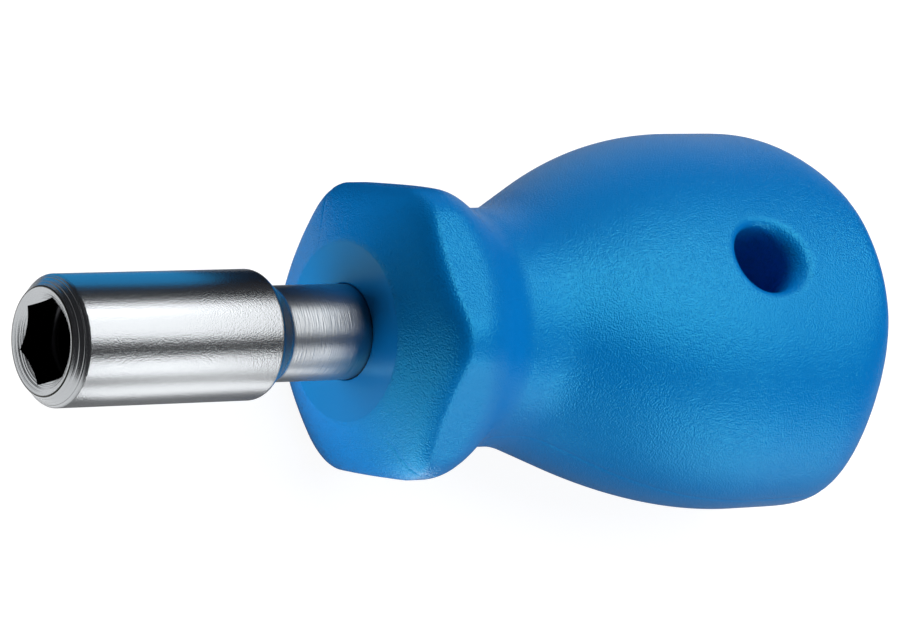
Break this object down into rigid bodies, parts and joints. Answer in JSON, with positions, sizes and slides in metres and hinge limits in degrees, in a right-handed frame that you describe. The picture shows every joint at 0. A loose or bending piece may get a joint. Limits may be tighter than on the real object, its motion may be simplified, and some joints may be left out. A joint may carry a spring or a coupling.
{
  "type": "bit holder screwdriver",
  "caption": "Stubby screwdriver handle with a hexagonal anti-roll collar, a hanging hole and a steel hexagon socket that holds quarter-inch insert bits by a snap ring and a magnet.",
  "frame": {"origin": "middle of the whole tool's box, on the tool's axis", "axes": "+X along the tool's axis from the socket mouth to the end of the handle, +Z along the hanging hole and square to the mould's parting plane, +Y across the widest part of the handle"},
  "size_m": [0.0798, 0.034, 0.0254],
  "materials": {
    "blue_plastic": "fine leather grain, semi-gloss, moulded in the colour",
    "satin_steel": "satin chrome plate over turning marks",
    "nickel_plate": "dull nickel plate",
    "spring_steel": "dark drawn wire"
  },
  "bodies": {
    "tool": {"handle": "blue_plastic", "bit_holder": "satin_steel", "magnet": "nickel_plate"},
    "ring": {"retaining_ring": "spring_steel"}
  },
  "joints": [
    {"name": "retaining_ring_turn", "type": "hinge", "parent": "tool", "child": "ring", "pos_m": [-0.0363, 0, 0], "axis": [1, 0, 0], "continuous": true}
  ]
}
